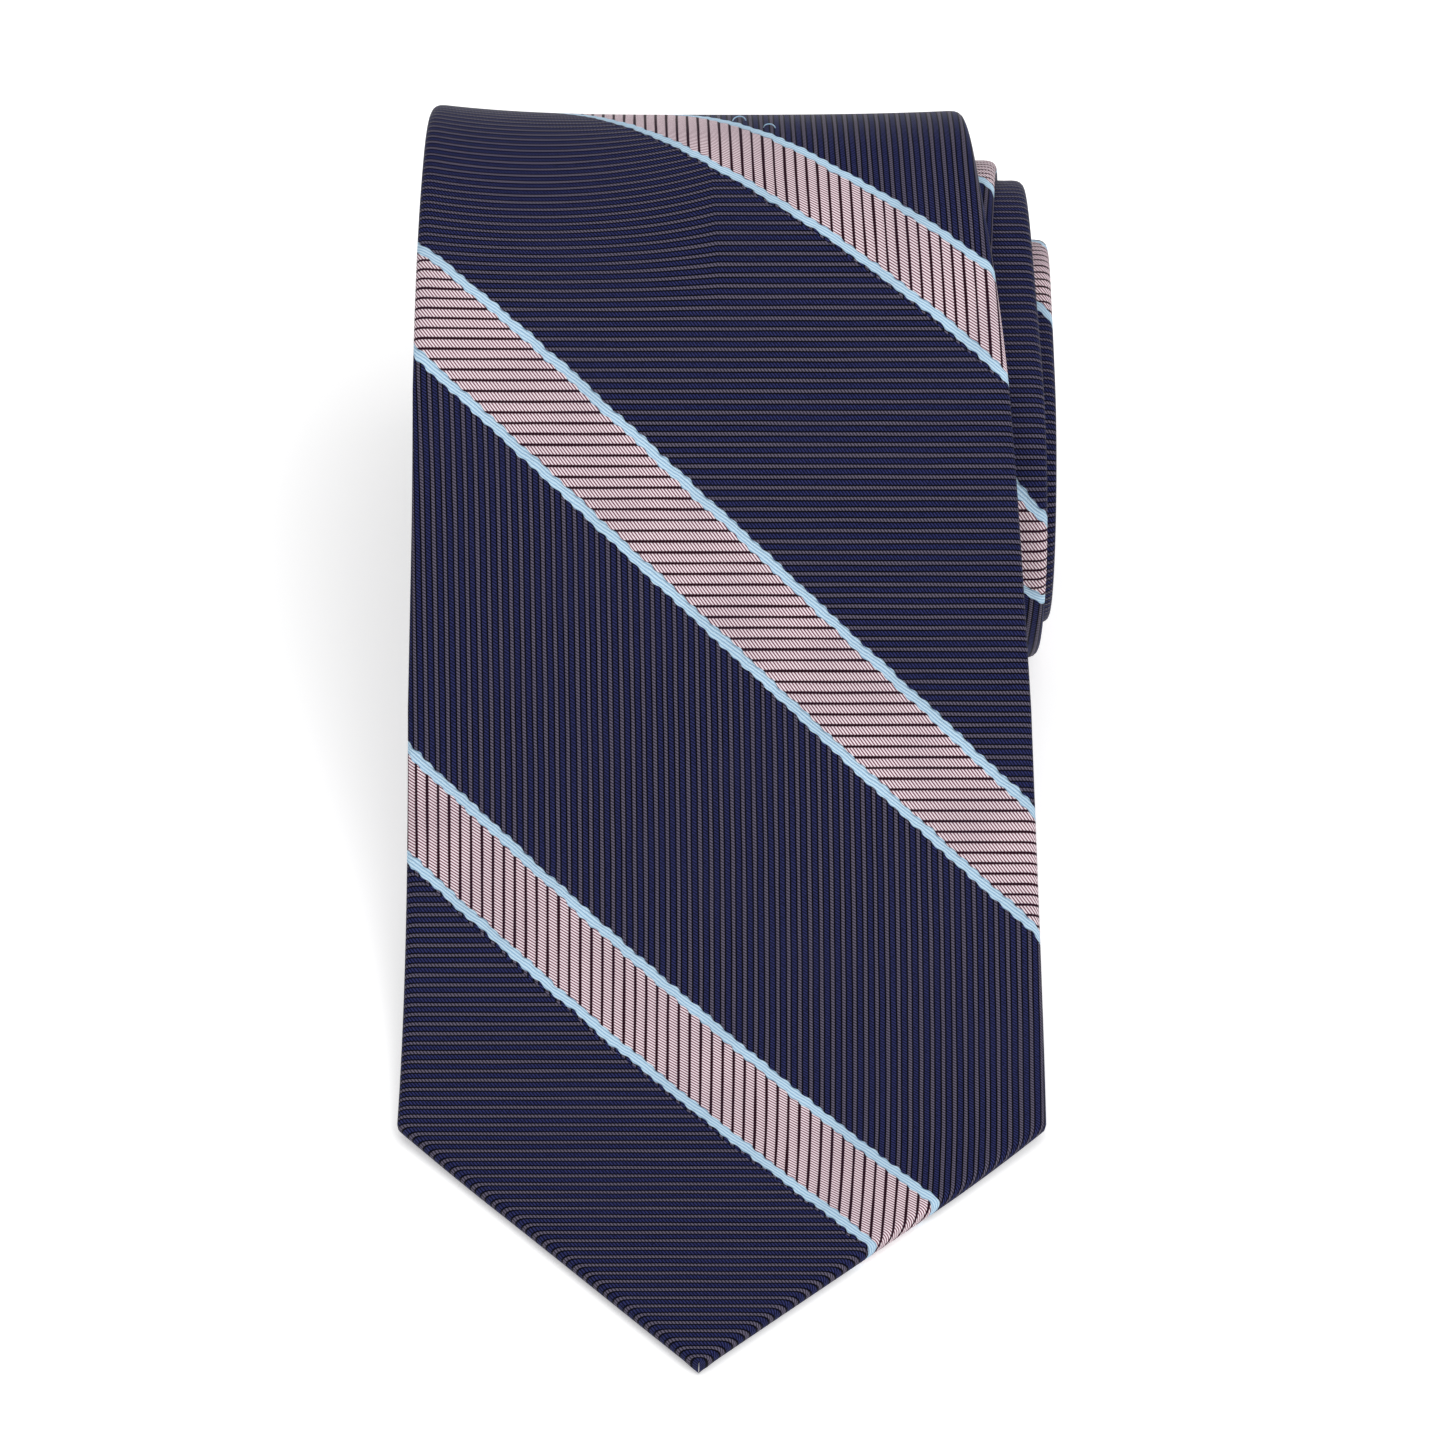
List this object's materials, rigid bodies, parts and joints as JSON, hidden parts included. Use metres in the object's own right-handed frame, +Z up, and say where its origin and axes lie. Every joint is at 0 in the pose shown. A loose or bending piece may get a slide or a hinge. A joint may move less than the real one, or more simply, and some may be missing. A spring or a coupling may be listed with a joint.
{
  "type": "necktie",
  "caption": "Rolled silk necktie lying on a surface, its pointed blade drawn forward from the roll; bias stripes, lined point, keeper loop, unrolling first turn.",
  "frame": {"origin": "under the middle of the whole rolled tie, on the surface it lies on", "axes": "+Z up; +Y from the point of the blade towards the back of the roll; X across the tie"},
  "size_m": [0.0858, 0.1912, 0.0634],
  "materials": {
    "striped_silk": "ribbed twill silk, navy with dusty pink stripes edged in pale blue",
    "wool_interlining": "brushed wool",
    "lining_silk": "plain navy satin",
    "navy_thread": "twisted sewing thread"
  },
  "bodies": {
    "roll": {"blade_silk_roll": "striped_silk", "neck_silk": "striped_silk", "tail_silk": "striped_silk", "interlining_roll": "wool_interlining", "slip_stitch_roll": "navy_thread", "tail_tipping": "lining_silk", "tail_bar_tack": "navy_thread"},
    "lower_turn": {"blade_silk_lower_turn": "striped_silk", "interlining_lower_turn": "wool_interlining", "slip_stitch_lower_turn": "navy_thread"},
    "rear_turn": {"blade_silk_rear_turn": "striped_silk", "interlining_rear_turn": "wool_interlining", "slip_stitch_rear_turn": "navy_thread"},
    "upper_turn": {"blade_silk_upper_turn": "striped_silk", "interlining_upper_turn": "wool_interlining", "slip_stitch_upper_turn": "navy_thread", "keeper_loop": "striped_silk"},
    "top": {"blade_silk_top": "striped_silk", "interlining_top": "wool_interlining", "slip_stitch_top": "navy_thread"},
    "slope": {"blade_silk_slope": "striped_silk", "interlining_slope": "wool_interlining", "slip_stitch_slope": "navy_thread", "blade_tipping_slope": "lining_silk", "blade_bar_tack": "navy_thread"},
    "tip": {"blade_silk_tip": "striped_silk", "interlining_tip": "wool_interlining", "blade_tipping_tip": "lining_silk"}
  },
  "joints": [
    {"name": "unroll_lower", "type": "hinge", "parent": "roll", "child": "lower_turn", "pos_m": [0, 0.07489, 0.0019], "axis": [-1, 0, 0], "range_deg": [0, 45]},
    {"name": "unroll_rear", "type": "hinge", "parent": "lower_turn", "child": "rear_turn", "pos_m": [0, 0.09271, 0.01823], "axis": [-1, 0, 0], "range_deg": [0, 45]},
    {"name": "unroll_upper", "type": "hinge", "parent": "rear_turn", "child": "upper_turn", "pos_m": [0, 0.09376, 0.04237], "axis": [-1, 0, 0], "range_deg": [0, 45]},
    {"name": "unroll_top", "type": "hinge", "parent": "upper_turn", "child": "top", "pos_m": [0, 0.07744, 0.06018], "axis": [-1, 0, 0], "range_deg": [0, 45]},
    {"name": "blade_lift", "type": "hinge", "parent": "top", "child": "slope", "pos_m": [0, 0.03815, 0.06026], "axis": [-1, 0, 0], "range_deg": [0, 40]},
    {"name": "tip_level", "type": "hinge", "parent": "slope", "child": "tip", "pos_m": [0, -0.03208, 0.00654], "axis": [1, 0, 0], "range_deg": [0, 40]}
  ],
  "couplings": [
    {"joint": "unroll_rear", "follows": "unroll_lower", "ratio": 1},
    {"joint": "unroll_upper", "follows": "unroll_lower", "ratio": 1},
    {"joint": "unroll_top", "follows": "unroll_lower", "ratio": 1},
    {"joint": "tip_level", "follows": "blade_lift", "ratio": 1}
  ]
}
